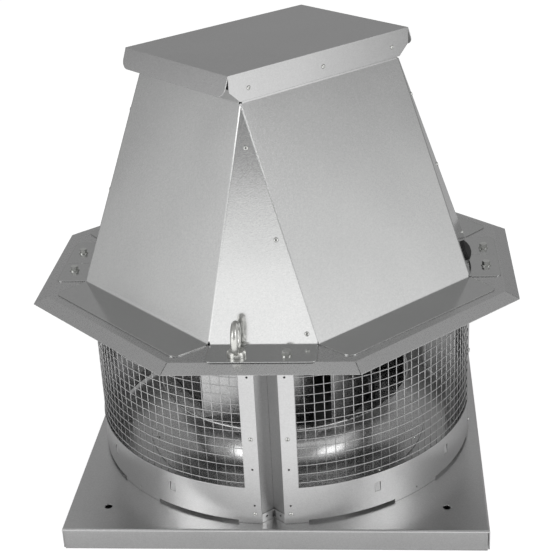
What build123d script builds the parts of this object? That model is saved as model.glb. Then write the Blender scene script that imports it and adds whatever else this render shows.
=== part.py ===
from build123d import *
from math import asin, atan2, cos, degrees, hypot, radians, sin, sqrt
import os

# Roof exhaust fan of bare galvanised sheet.  A square tray sits on the roof curb.  Four
# posts and a round wire guard stand on it and carry an octagonal plate with the motor,
# which hangs a backward-curved impeller over the inlet nozzle.  A folded hood turned by
# 45 degrees covers the motor, and a flat cap covers the vents at the top of the hood.
# Origin: centre of the tray on the plane that it rests on.  The front is -Y.

os.makedirs("parts", exist_ok=True)

# Base tray
base_side = 595.0
base_height = 32.0
base_sheet = 2.0
base_bend = 3.0
base_corner_gap = 3.0
base_opening = 178.0
fixing_spacing = 482.0
fixing_hole = 11.0

# Inlet nozzle and impeller
throat_radius = 128.0
nozzle_sheet = 1.25
nozzle_curve = 52.0
nozzle_lip = 6.0
nozzle_flange = 214.0
nozzle_fixings = 12
nozzle_fixing_inset = 9.0
nozzle_first_fixing = 15.0
eye_clearance = 3.5
eye_overlap = 8.0
impeller_radius = 191.0
shroud_rise = 36.0
shroud_sheet = 1.5
shroud_rim_angle = 24.0
shroud_fullness = (0.8, 0.9)
rim_bead = 2.0
back_plate_height = 236.0
back_plate_sheet = 2.0
blade_count = 6
blade_sheet = 1.5
blade_inner_radius = 131.0
blade_inset = 3.0
blade_tip_azimuth = -34.5
blade_sweep = 57.0
blade_bulge = 14.0

# Guard
guard_radius = 283.0
guard_height = 276.0
guard_sheet = 1.25
post_gap = 31.6
strip_width = 21.5
band_height = 58.0
top_band_height = 16.0
edge_relief = 4.5
relief_start = 10.0
relief_end = 36.6
vent_slot_width = 9.5
vent_slot_height = 14.5
vent_slot_rise = 36.0
vent_slot_azimuth = 14.2
peg_hole = 3.0
peg_hole_rises = (29.5, 88.0, 231.5)
band_hole_rise = 8.0
guard_rivet_rises = (16.0, 136.0)
rivet_shift = 0.3
mesh_wire = 1.3
mesh_pitch = 27.4
mesh_margin = 8.0
weld_bite = 0.2

# Posts
post_sheet = 1.5
post_flange = 22.0
post_depth = 14.5
web_low_radius = 248.0
web_high_radius = 213.0
web_gusset_rise = 66.0
web_rivet_inset = 9.0
web_rivet_rises = (40.0, 120.0, 200.0, 255.0)
foot_height = 14.0
foot_sheet = 1.5
foot_slot_width = 5.0
foot_slot_height = 10.0
foot_hole = 3.0
foot_hole_place = 0.6

# Motor plate
plate_half = 326.0
plate_corner = 121.0
plate_sheet = 2.0
skirt_reach = 18.8
skirt_drop = 8.8
seam_width = 0.8

# Hood
hood_height = 297.5
hood_sheet = 1.25
hood_margin = 46.4
hood_panel_half = 73.0
hood_top_length = 288.5
hood_top_width = 223.1
hood_bend = 4.0
hood_flange_margin = 22.5
hood_flange_inset = 4.5
hood_flange_corner = 11.0
long_upstand = 37.5
short_upstand = 14.5
upstand_inset = 3.0
lap_width = 22.0
relief_radius = 2.6
foot_overhang = 2.2
side_foot_margin = 2.7
foot_inset = 1.0
foot_corner = 8.0
foot_split = 7.0
foot_split_gap = 0.5
hood_rivet_inset = 11.0
hood_rivet_rises = (17.0, 134.0, 247.0)
cable_hole_offset = -14.0
cable_hole_rise = 17.5
cable_hole = 20.0
grommet_lip_width = 5.0
grommet_front = 3.5
grommet_back = 3.0
grommet_height = 9.0
grommet_wall = 2.5

# Cap
cap_rise = 40.5
cap_sheet = 1.25
cap_length = 325.0
cap_skirt_height = 38.0
cap_skirt_length = 290.0
cap_skirt_end_height = 22.2
cap_flare_drop = 27.0
cap_flare_reach = 10.0
cap_flare_corner = 13.0
cap_rivet_drop = 22.2
cap_rivet_spacing = 130.0
vent_bar_width = 12.0
vent_bar_sheet = 1.5
vent_bar_inset = 14.0
vent_bar_rise = 22.5

# Fasteners
rivet_head = 6.6
rivet_head_height = 1.7
rivet_shank = 4.0
rivet_tail = 5.6
rivet_tail_height = 1.6
rivet_sink = 1.0
bolt_shank = 6.0
bolt_hex = 10.0
bolt_hex_height = 5.0
bolt_flange = 14.2
bolt_flange_height = 1.4
nut_height = 5.0
hood_bolt_offset = 32.3
hood_bolt_inset = 19.9
side_bolt_inset = 18.8
shank_clearance = 0.15
bolt_tail = 2.0
drill_length = 10.0
eye_collar = 25.0
eye_collar_height = 7.0
eye_ring_outer = 45.0
eye_ring_inner = 25.0
eye_shank = 10.0
eye_nut_hex = 16.0
eye_nut_height = 8.0

# Motor
motor_flange = 200.0
motor_flange_height = 12.0
motor_spigot = 130.0
motor_bolt_circle = 165.0
motor_bolt_count = 4
motor_first_bolt = 45.0
motor_first_fin = 9.0
motor_bolt = 10.0
motor_bolt_hex = 16.0
motor_bolt_head = 7.0
motor_bolt_nut = 8.0
motor_barrel = 148.0
motor_barrel_height = 140.0
motor_fin_count = 20
motor_fin_height = 7.0
motor_fin_width = 3.0
motor_bore = 92.0
shield_height = 22.0
shield_step = 8.0
bearing_outer = 52.0
bearing_width = 15.0
shaft_diameter = 24.0
shaft_reach = 50.0
rotor_core_height = 90.0
cowl_sheet = 1.5
cowl_height = 52.0
cowl_grille_radius = 45.0
cowl_hole = 9.0
cowl_outer_holes = 12
cowl_inner_holes = 6
fan_radius = 64.0
fan_blades = 7
fan_blade_height = 22.0
fan_blade_inset = 2.5
fan_boss = 24.0
fan_disc = 3.0
terminal_length = 96.0
terminal_width = 84.0
terminal_depth = 42.0
running_clearance = 0.05
air_gap = 0.5
seat_clearance = 0.05

# Impeller hub
hub_radius = 26.0
hub_flange_radius = 58.0
hub_flange_height = 6.0
hub_top_gap = 8.0
hub_web = 7.0
hub_recess_radius = 17.0
hub_screw = 8.0
hub_screw_head = 13.0
hub_screw_head_height = 8.0
hub_washer_radius = 14.0
hub_washer_height = 2.0
hub_screw_bite = 24.0
hub_rivets = 8
hub_rivet_circle = 46.0

# Hood lines and fixings that follow the plate's edge, and levels that follow from the sizes above
hood_foot_line = plate_half - hood_margin
hood_flange_reach = plate_half - hood_flange_margin
foot_reach = plate_half + foot_overhang
side_foot_reach = plate_half - side_foot_margin
hood_bolt_reach = foot_reach - hood_bolt_inset
side_bolt_reach = side_foot_reach - side_bolt_inset
hood_bolt_points = [(hood_bolt_offset, -hood_bolt_reach), (-hood_bolt_offset, hood_bolt_reach)]
hood_bolt_points += [(sx * side_bolt_reach, sy * hood_bolt_offset) for sx in (-1, 1) for sy in (-1, 1)]
eye_points = [(-hood_bolt_offset, -hood_bolt_reach), (hood_bolt_offset, hood_bolt_reach)]
base_top = base_height
plate_under = base_top + guard_height
plate_top = plate_under + plate_sheet
hood_top = plate_top + hood_height
cap_top = hood_top + cap_rise
cap_under = cap_top - cap_sheet
guard_inner = guard_radius - guard_sheet
mesh_outer = guard_inner - seat_clearance
mesh_layer = 2 * mesh_wire - weld_bite
post_outer = mesh_outer - mesh_layer - seat_clearance
strip_start = degrees((post_gap / 2) / guard_radius)
strip_end = degrees((post_gap / 2 + strip_width) / guard_radius)
rivet_azimuth = (strip_start + strip_end) / 2 - rivet_shift
throat_outer = throat_radius + nozzle_sheet
nozzle_curve_centre = throat_outer + nozzle_curve
nozzle_top = base_top + nozzle_sheet + nozzle_curve + nozzle_lip
nozzle_circle = nozzle_flange - nozzle_fixing_inset
eye_radius = throat_outer + eye_clearance
eye_low = nozzle_top - eye_overlap
shroud_rim_height = eye_low + shroud_rise + eye_overlap
flange_face = plate_top
shaft_end = flange_face - shaft_reach
root_half = sqrt(0.5)


def hood_point(along, across):
    """A plan point given along and across the hood, whose axes stand at 45 degrees."""
    return (root_half * (along - across), root_half * (along + across))


def octagon(half, corner):
    """Eight plan points of a square of half-side `half` whose corners are cut at `corner`."""
    points = []
    for sx, sy, swap in ((1, -1, 0), (1, -1, 1), (1, 1, 1), (1, 1, 0),
                         (-1, 1, 0), (-1, 1, 1), (-1, -1, 1), (-1, -1, 0)):
        x, y = (half, corner) if swap else (corner, half)
        points.append((sx * x, sy * y))
    return points


def radial_plane(azimuth, radius, z):
    """A plane on a cylinder about Z, its normal pointing out, azimuth 0 at the front."""
    angle = radians(azimuth - 90)
    outward = (cos(angle), sin(angle), 0)
    return Plane(origin=(radius * outward[0], radius * outward[1], z), x_dir=(-outward[1], outward[0], 0),
                 z_dir=outward)


def ring_wedge(inner, outer, start, end):
    """A ring sector in the current sketch, between two azimuths counted from the front."""
    first, last = radians(start - 90), radians(end - 90)
    middle = (first + last) / 2
    with BuildLine() as wedge:
        outer_arc = ThreePointArc(*[(outer * cos(a), outer * sin(a)) for a in (first, middle, last)])
        inner_arc = ThreePointArc(*[(inner * cos(a), inner * sin(a)) for a in (first, middle, last)])
        Line(outer_arc @ 0, inner_arc @ 0)
        Line(outer_arc @ 1, inner_arc @ 1)
    make_face(wedge.edges())


def domed_rivet(tail):
    """A rivet turned from its half section: domed head on the XY plane, shank and tail below it."""
    dome = ((rivet_head / 2) ** 2 + rivet_head_height ** 2) / (2 * rivet_head_height)
    shoulder = (rivet_head / 4, rivet_head_height - dome + sqrt(dome ** 2 - (rivet_head / 4) ** 2))
    with BuildLine() as profile:
        ThreePointArc((rivet_head / 2, 0), shoulder, (0, rivet_head_height))
        Polyline((0, rivet_head_height), (0, tail[0][1]), *tail, (rivet_shank / 2, 0), (rivet_head / 2, 0))
    with BuildPart() as rivet:
        with BuildSketch(Plane.XZ):
            make_face(profile.edges())
        revolve(axis=Axis.Z)
    return rivet.part


def blind_rivet(grip):
    """A blind rivet: its set tail stands out below the grip."""
    return domed_rivet([(rivet_tail / 2, -grip - rivet_tail_height), (rivet_tail / 2, -grip),
                        (rivet_shank / 2, -grip)])


def flush_rivet(grip):
    """A rivet whose tail is set into a countersink, so that the far side stays flat."""
    return domed_rivet([(rivet_shank / 2 + rivet_sink, -grip), (rivet_shank / 2, rivet_sink - grip)])


def flange_bolt(grip):
    """A hexagon flange bolt, its flange on the XY plane, with a nut below the grip."""
    with BuildPart() as bolt:
        Cylinder(bolt_flange / 2, bolt_flange_height, align=(Align.CENTER, Align.CENTER, Align.MIN))
        with BuildSketch(Plane.XY.offset(bolt_flange_height)):
            RegularPolygon(bolt_hex / sqrt(3), 6)
        extrude(amount=bolt_hex_height)
        length = grip + nut_height + bolt_tail
        Cylinder(bolt_shank / 2, length, align=(Align.CENTER, Align.CENTER, Align.MAX))
    with BuildPart() as nut:
        with BuildSketch(Plane.XY.offset(-grip)):
            RegularPolygon(bolt_hex / sqrt(3), 6)
            Circle(bolt_shank / 2 + running_clearance, mode=Mode.SUBTRACT)
        extrude(amount=-nut_height)
    return bolt.part, nut.part


# Base tray: one square sheet with its four edges folded down and open corners.
with BuildPart() as base_plate:
    with BuildSketch():
        Rectangle(base_side, base_side)
    extrude(amount=base_height)
    fillet(base_plate.faces().sort_by(Axis.Z)[-1].edges(), base_bend)
    with BuildSketch():
        Rectangle(base_side - 2 * base_sheet, base_side - 2 * base_sheet)
    extrude(amount=base_height - base_sheet, mode=Mode.SUBTRACT)
    with BuildSketch():
        with GridLocations(base_side, base_side, 2, 2):
            Rectangle(2 * base_corner_gap, 2 * base_corner_gap)
    extrude(amount=base_height - base_bend, mode=Mode.SUBTRACT)
    with BuildSketch(Plane.XY.offset(base_height)):
        Circle(base_opening)
        with GridLocations(fixing_spacing, fixing_spacing, 2, 2):
            Circle(fixing_hole / 2)
        with PolarLocations(nozzle_circle, nozzle_fixings, start_angle=nozzle_first_fixing):
            Circle(rivet_shank / 2 + shank_clearance)
    extrude(amount=-base_sheet - base_bend, mode=Mode.SUBTRACT)
    with Locations((0, 0, base_height - base_sheet)):
        with PolarLocations(nozzle_circle, nozzle_fixings, start_angle=nozzle_first_fixing):
            Cone(rivet_shank / 2 + rivet_sink + shank_clearance, rivet_shank / 2 + shank_clearance,
                 rivet_sink, align=(Align.CENTER, Align.CENTER, Align.MIN), mode=Mode.SUBTRACT)
base_plate.part.label = "base_plate"
export_step(base_plate.part, "parts/base_plate.step")

# Inlet nozzle: spun ring, flat flange on the tray, curving up into the throat.  Its rivets are
# set flush, because the curb's seal lies against the underside of the tray.
with BuildPart() as inlet_nozzle:
    with BuildSketch(Plane.XZ):
        flange_z = base_top + nozzle_sheet
        outer_bend = nozzle_curve + nozzle_sheet
        turn = root_half
        with BuildLine():
            Line((nozzle_flange, base_top), (nozzle_curve_centre, base_top))
            ThreePointArc((nozzle_curve_centre, base_top),
                          (nozzle_curve_centre - outer_bend * turn,
                           flange_z + nozzle_curve - outer_bend * turn),
                          (throat_radius, flange_z + nozzle_curve))
            Line((throat_radius, flange_z + nozzle_curve), (throat_radius, nozzle_top))
            Line((throat_radius, nozzle_top), (throat_outer, nozzle_top))
            Line((throat_outer, nozzle_top), (throat_outer, flange_z + nozzle_curve))
            ThreePointArc((throat_outer, flange_z + nozzle_curve),
                          (nozzle_curve_centre - nozzle_curve * turn,
                           flange_z + nozzle_curve - nozzle_curve * turn),
                          (nozzle_curve_centre, flange_z))
            Line((nozzle_curve_centre, flange_z), (nozzle_flange, flange_z))
            Line((nozzle_flange, flange_z), (nozzle_flange, base_top))
        make_face()
    revolve(axis=Axis.Z)
    with BuildSketch(Plane.XY.offset(base_top)):
        with PolarLocations(nozzle_circle, nozzle_fixings, start_angle=nozzle_first_fixing):
            Circle(rivet_shank / 2 + shank_clearance)
    extrude(amount=nozzle_sheet, mode=Mode.SUBTRACT)
inlet_nozzle.part.label = "inlet_nozzle"
export_step(inlet_nozzle.part, "parts/inlet_nozzle.step")

with BuildPart() as nozzle_rivets:
    with Locations((0, 0, base_top + nozzle_sheet)):
        with PolarLocations(nozzle_circle, nozzle_fixings, start_angle=nozzle_first_fixing):
            add(flush_rivet(base_sheet + nozzle_sheet))
nozzle_rivets.part.label = "nozzle_rivets"
export_step(nozzle_rivets.part, "parts/nozzle_rivets.step")

# Guard frame: a quarter of a rolled sheet with a wide bottom band, two side strips and a
# top band.  The lower edge is relieved on both sides of the middle, which drains the tray.
with BuildPart() as guard_quarter:
    with BuildSketch(Plane.XY.offset(base_top)):
        ring_wedge(guard_inner, guard_radius, strip_start, 90 - strip_start)
    extrude(amount=guard_height)
    with BuildSketch(Plane.XY.offset(base_top + band_height)):
        ring_wedge(guard_inner - 1, guard_radius + 1, strip_end, 90 - strip_end)
    extrude(amount=guard_height - band_height - top_band_height, mode=Mode.SUBTRACT)
    for start, end in ((relief_start, relief_end), (90 - relief_end, 90 - relief_start)):
        with BuildSketch(Plane.XY.offset(base_top)):
            ring_wedge(guard_inner - 1, guard_radius + 1, start, end)
        extrude(amount=edge_relief, mode=Mode.SUBTRACT)
    slot_z = base_top + vent_slot_rise
    with Locations(*[radial_plane(45 + side * vent_slot_azimuth, guard_inner - guard_sheet, slot_z)
                     for side in (-1, 1)]):
        Box(vent_slot_width, vent_slot_height, 3 * guard_sheet,
            align=(Align.CENTER, Align.CENTER, Align.MIN), mode=Mode.SUBTRACT)
    small_holes = [radial_plane(a, guard_radius, base_top + z)
                   for a in (rivet_azimuth, 90 - rivet_azimuth) for z in peg_hole_rises]
    small_holes.append(radial_plane(45, guard_radius, base_top + band_hole_rise))
    with Locations(*small_holes):
        Cylinder(peg_hole / 2, drill_length, mode=Mode.SUBTRACT)
    with Locations(*[radial_plane(a, guard_radius, base_top + z)
                     for a in (rivet_azimuth, 90 - rivet_azimuth) for z in guard_rivet_rises]):
        Cylinder(rivet_shank / 2 + shank_clearance, drill_length, mode=Mode.SUBTRACT)

# Guard mesh: welded wires behind the frame, the ring wires outside and the upright ones
# inside.  One wire in two is modelled here.
mesh_start = strip_end - degrees(mesh_margin / guard_radius)
mesh_end = 90 - mesh_start
mesh_low = base_top + band_height - mesh_margin
mesh_high = base_top + guard_height - top_band_height + mesh_margin
upright_outer = mesh_outer - mesh_wire + weld_bite
with BuildPart() as mesh_quarter:
    rows = int((mesh_high - mesh_low) / mesh_pitch)
    for row in range(rows + 1):
        with BuildSketch(Plane.XY.offset(mesh_low + row * mesh_pitch)):
            ring_wedge(mesh_outer - mesh_wire, mesh_outer, mesh_start, mesh_end)
        extrude(amount=mesh_wire)
    columns = round(radians(mesh_end - mesh_start) * guard_radius / mesh_pitch)
    step = (mesh_end - mesh_start) / columns
    uprights = []
    for column in range(columns + 1):
        azimuth = min(max(mesh_start + column * step, mesh_start + 0.2), mesh_end - 0.2)
        uprights.append(radial_plane(azimuth, upright_outer, mesh_low))
    with Locations(*uprights):
        Box(mesh_wire, mesh_high - mesh_low, mesh_wire, align=(Align.CENTER, Align.MIN, Align.MAX))

quarter_names = ("front_right", "back_right", "back_left", "front_left")
for index, place in enumerate(quarter_names):
    turn = Location((0, 0, 0), (0, 0, 90 * index))
    with BuildPart() as guard_frame:
        with Locations(turn):
            add(guard_quarter.part)
    guard_frame.part.label = f"guard_frame_{place}"
    export_step(guard_frame.part, f"parts/guard_frame_{place}.step")
    with BuildPart() as guard_mesh:
        with Locations(turn):
            add(mesh_quarter.part)
    guard_mesh.part.label = f"guard_mesh_{place}"
    export_step(guard_mesh.part, f"parts/guard_mesh_{place}.step")

# Post: two mirrored folded sheets, back to back.  Each has a flange behind a guard strip,
# a wall slanting in to the middle, and a radial web that widens upwards into a gusset.
with BuildPart() as post_half:
    edge_azimuth = degrees(asin(post_gap / 2 / post_outer))
    flange_azimuth = degrees(post_flange / post_outer)
    vertex_radius = post_outer - post_depth
    wall_top = (post_gap / 2, -post_outer * cos(radians(edge_azimuth)))
    wall_run = hypot(wall_top[0], wall_top[1] + vertex_radius)
    across = (-(wall_top[1] + vertex_radius) / wall_run * post_sheet, wall_top[0] / wall_run * post_sheet)
    with BuildSketch(Plane.XY.offset(base_top)):
        ring_wedge(post_outer - post_sheet, post_outer, edge_azimuth, edge_azimuth + flange_azimuth)
        Polygon(wall_top, (0, -vertex_radius), (across[0], -vertex_radius + across[1]),
                (wall_top[0] + across[0], wall_top[1] + across[1]), align=None)
        with Locations((0, -vertex_radius)):
            Rectangle(post_sheet, vertex_radius - web_high_radius, align=(Align.MIN, Align.MIN))
    extrude(amount=guard_height)
    gusset_z = base_top + web_gusset_rise
    gusset_run = web_low_radius - web_high_radius
    with BuildSketch(Plane.YZ):
        Polygon((-web_low_radius, base_top), (-web_high_radius, base_top),
                (-web_high_radius, gusset_z + gusset_run), (-web_low_radius, gusset_z), align=None)
    extrude(amount=post_sheet, mode=Mode.SUBTRACT)
    with Locations(*[radial_plane(rivet_azimuth, guard_radius, base_top + z) for z in guard_rivet_rises]):
        Cylinder(rivet_shank / 2 + shank_clearance, 4 * post_depth, mode=Mode.SUBTRACT)
    with BuildSketch(Plane.YZ):
        with Locations(*[(web_rivet_inset - vertex_radius, base_top + z) for z in web_rivet_rises]):
            Circle(rivet_shank / 2 + shank_clearance)
    extrude(amount=post_sheet, mode=Mode.SUBTRACT)

# Post foot: a low V-shaped bracket in front of the walls, slotted at its fold.
with BuildPart() as foot_front:
    with BuildSketch(Plane.XY.offset(base_top)):
        with BuildLine():
            back = [(-wall_top[0], wall_top[1]), (0, -vertex_radius), wall_top]
            back = [(x, y - seat_clearance) for x, y in back]
            front = [(x, y - foot_sheet * wall_run / wall_top[0]) for x, y in reversed(back)]
            Polyline(*back, *front, close=True)
        make_face()
    extrude(amount=foot_height)
    with BuildSketch(Plane.XZ.offset(vertex_radius - post_depth)):
        with Locations((0, base_top + foot_height / 2)):
            Rectangle(foot_slot_width, foot_slot_height)
        with Locations(*[(side * foot_hole_place * wall_top[0], base_top + foot_hole_place * foot_height)
                         for side in (-1, 1)]):
            Circle(foot_hole / 2)
    extrude(amount=3 * post_depth, mode=Mode.SUBTRACT)

post_names = ("front", "right", "back", "left")
for index, place in enumerate(post_names):
    turn = Location((0, 0, 0), (0, 0, 90 * index))
    neighbours = (post_names[(index + 1) % 4], post_names[(index + 3) % 4])
    for side, neighbour in enumerate(neighbours):
        with BuildPart() as post:
            with Locations(turn):
                add(post_half.part if side == 0 else post_half.part.mirror(Plane.YZ))
        name = f"post_{place}_{neighbour}_side"
        post.part.label = name
        export_step(post.part, f"parts/{name}.step")
    with BuildPart() as post_foot:
        with Locations(turn):
            add(foot_front.part)
    post_foot.part.label = f"post_foot_{place}"
    export_step(post_foot.part, f"parts/post_foot_{place}.step")

with BuildPart() as post_rivets:
    with PolarLocations(0, 4):
        web_y = web_rivet_inset - vertex_radius
        with Locations(*[Plane(origin=(post_sheet, web_y, base_top + z), z_dir=(1, 0, 0))
                         for z in web_rivet_rises]):
            add(blind_rivet(2 * post_sheet))
post_rivets.part.label = "post_rivets"
export_step(post_rivets.part, "parts/post_rivets.step")

with BuildPart() as guard_rivets:
    grip = guard_sheet + mesh_layer + post_sheet + 3 * seat_clearance
    with Locations(*[radial_plane(90 * index + side * rivet_azimuth, guard_radius, base_top + z)
                     for index in range(4) for side in (-1, 1) for z in guard_rivet_rises]):
        add(blind_rivet(grip))
guard_rivets.part.label = "guard_rivets"
export_step(guard_rivets.part, "parts/guard_rivets.step")

# Motor plate: an octagon whose rim is folded down into a sloping skirt, mitred at the
# corners.
with BuildPart() as motor_plate:
    lower_half = plate_half + skirt_reach
    lower_corner = plate_corner + skirt_reach * (sqrt(2) - 1)
    for level, mode in ((plate_top, Mode.ADD), (plate_under, Mode.SUBTRACT)):
        with BuildSketch(Plane.XY.offset(level)):
            Polygon(*octagon(plate_half, plate_corner), align=None)
        with BuildSketch(Plane.XY.offset(level - skirt_drop)):
            Polygon(*octagon(lower_half, lower_corner), align=None)
        loft(mode=mode)
    for x, y in octagon(plate_half, plate_corner):
        outward = degrees(atan2(y, x))
        with BuildSketch(Plane(origin=(x, y, plate_top), z_dir=(0, 0, 1)).rotated((0, 0, outward))):
            Rectangle(3 * skirt_reach, seam_width, align=(Align.MIN, Align.CENTER))
        extrude(amount=-2 * skirt_drop, mode=Mode.SUBTRACT)
    with BuildSketch(Plane.XY.offset(plate_top)):
        Circle(motor_spigot / 2 + seat_clearance)
        with PolarLocations(motor_bolt_circle / 2, motor_bolt_count, start_angle=motor_first_bolt):
            Circle(motor_bolt / 2 + shank_clearance)
        with Locations(*hood_bolt_points):
            Circle(bolt_shank / 2 + shank_clearance)
        with Locations(*eye_points):
            Circle(eye_shank / 2 + shank_clearance)
    extrude(amount=-plate_sheet, mode=Mode.SUBTRACT)
motor_plate.part.label = "motor_plate"
export_step(motor_plate.part, "parts/motor_plate.step")

# Hood: eight sloping faces.  The outer and inner skins are cut from blocks by the planes
# of the faces, and each sheet is the piece of the shell between two of its edges.
panel_points = octagon(hood_foot_line, hood_panel_half)
half_length, half_width = hood_top_length / 2, hood_top_width / 2
apex_front, apex_right, apex_back, apex_left = [
    Vector(*hood_point(u, v), hood_top)
    for u, v in ((-half_length, -half_width), (half_length, -half_width),
                 (half_length, half_width), (-half_length, half_width))]
ring = [Vector(x, y, plate_top) for x, y in panel_points]
front_a, right_a, right_b, back_a, back_b, left_b, left_a, front_b = ring


def face_plane(p, q, r):
    """The plane of three points of a hood face, its normal turned away from the axis."""
    normal = (q - p).cross(r - p).normalized()
    centre = (p + q + r) * (1 / 3)
    if normal.dot(Vector(centre.X, centre.Y, 0)) < 0:
        normal = normal * -1
    return Plane(origin=p, x_dir=(q - p).normalized(), z_dir=normal)


front_panel = face_plane(front_b, front_a, apex_front)
long_face = face_plane(front_a, right_a, apex_front)
right_panel = face_plane(right_a, right_b, apex_right)
short_face = face_plane(left_a, front_b, apex_front)
left_panel = face_plane(left_b, left_a, apex_left)
back_panel = face_plane(back_a, back_b, apex_back)
skin_planes = [front_panel, long_face, right_panel, face_plane(right_b, back_a, apex_back),
               back_panel, face_plane(back_b, left_b, apex_back), left_panel, short_face]
bent_edges = [(front_b + apex_front) * 0.5, (right_a + apex_right) * 0.5,
              (back_a + apex_back) * 0.5, (left_b + apex_left) * 0.5]


def hood_skin(depth):
    """The solid inside the eight faces moved in by `depth`, its folded edges rounded."""
    with BuildPart() as skin:
        with BuildSketch(Plane.XY.offset(plate_top)):
            Rectangle(2 * foot_reach, 2 * foot_reach)
        extrude(amount=hood_height)
        for plane in skin_planes:
            split(bisect_by=plane.offset(-depth), keep=Keep.BOTTOM)
        edges = [skin.edges().sort_by_distance(point)[0] for point in bent_edges]
        fillet(edges, hood_bend - depth)
    return skin.part


def seam_plane(one, other, start, end):
    """The plane through a hood edge that halves the angle of two faces, towards `other`."""
    along = (end - start).normalized()
    normal = along.cross(one.z_dir + other.z_dir).normalized()
    if normal.dot(other.z_dir - one.z_dir) < 0:
        normal = normal * -1
    return Plane(origin=start, x_dir=along, z_dir=normal)


def lap_strip(panel, neighbour, far_face, start, end):
    """The strip behind the edge of a panel, folded off the neighbouring face that carries it."""
    inward = (end - start).normalized().cross(panel.z_dir).normalized()
    if inward.dot(neighbour.z_dir) > 0:
        inward = inward * -1
    depth = hood_sheet + seat_clearance
    with BuildPart() as strip:
        with BuildSketch(Plane.XY.offset(plate_top)):
            Rectangle(2 * foot_reach, 2 * foot_reach)
        extrude(amount=hood_height)
        split(bisect_by=panel.offset(-depth), keep=Keep.BOTTOM)
        split(bisect_by=panel.offset(-depth - hood_sheet), keep=Keep.TOP)
        split(bisect_by=neighbour.offset(-hood_sheet / 2), keep=Keep.BOTTOM)
        split(bisect_by=far_face.offset(-2 * hood_bend), keep=Keep.BOTTOM)
        split(bisect_by=Plane(origin=start + inward * lap_width, z_dir=inward), keep=Keep.BOTTOM)
    return strip.part


def seam_rivet_planes(panel, start, end):
    """Planes of the seam rivets on a panel, beside the edge from its foot to its apex."""
    along = (end - start).normalized()
    inward = along.cross(panel.z_dir).normalized()
    middle = Vector(0, 0, plate_top) + Vector(panel.z_dir.X, panel.z_dir.Y, 0).normalized() * hood_foot_line
    if inward.dot(middle - start) < 0:
        inward = inward * -1
    places = []
    for rise in hood_rivet_rises:
        point = start + along * (rise / along.Z) + inward * hood_rivet_inset
        places.append(Plane(origin=point, x_dir=along, z_dir=panel.z_dir))
    return places


outer_skin = hood_skin(0)
inner_skin = hood_skin(hood_sheet)
front_seam = seam_plane(front_panel, long_face, front_a, apex_front)
left_seam = seam_plane(short_face, left_panel, left_a, apex_left)
right_seam = seam_plane(right_panel, skin_planes[3], right_b, apex_right)
fold_line = root_half * (hood_foot_line + hood_panel_half)
fold_half = root_half * (hood_foot_line - hood_panel_half)
flange_outline = [(-fold_half, hood_sheet - fold_line), (fold_half, hood_sheet - fold_line),
                  (fold_half - hood_flange_inset, -hood_flange_reach),
                  (hood_flange_inset - fold_half, -hood_flange_reach)]
seam_rivet_places = (seam_rivet_planes(front_panel, front_a, apex_front)
                     + seam_rivet_planes(right_panel, right_b, apex_right))
seam_rivet_hole = rivet_shank / 2 + shank_clearance
panel_foot_half = hood_panel_half - foot_inset
cap_width = hood_top_width + 2 * (seat_clearance + cap_sheet)
cap_rivet_planes = []
for along in (-cap_rivet_spacing, 0, cap_rivet_spacing):
    x, y = hood_point(along, -cap_width / 2)
    cap_rivet_planes.append(Plane(origin=(x, y, cap_top - cap_rivet_drop), x_dir=(0, 0, 1),
                                  z_dir=(1, -1, 0)))
panel_up = (apex_right - (right_a + right_b) * 0.5).normalized()
panel_up = Vector(panel_up.X, 0, panel_up.Z).normalized()
cable_centre = Vector(hood_foot_line, cable_hole_offset, plate_top) + panel_up * cable_hole_rise
cable_plane = Plane(origin=cable_centre, x_dir=(0, 1, 0), z_dir=right_panel.z_dir)

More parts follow.
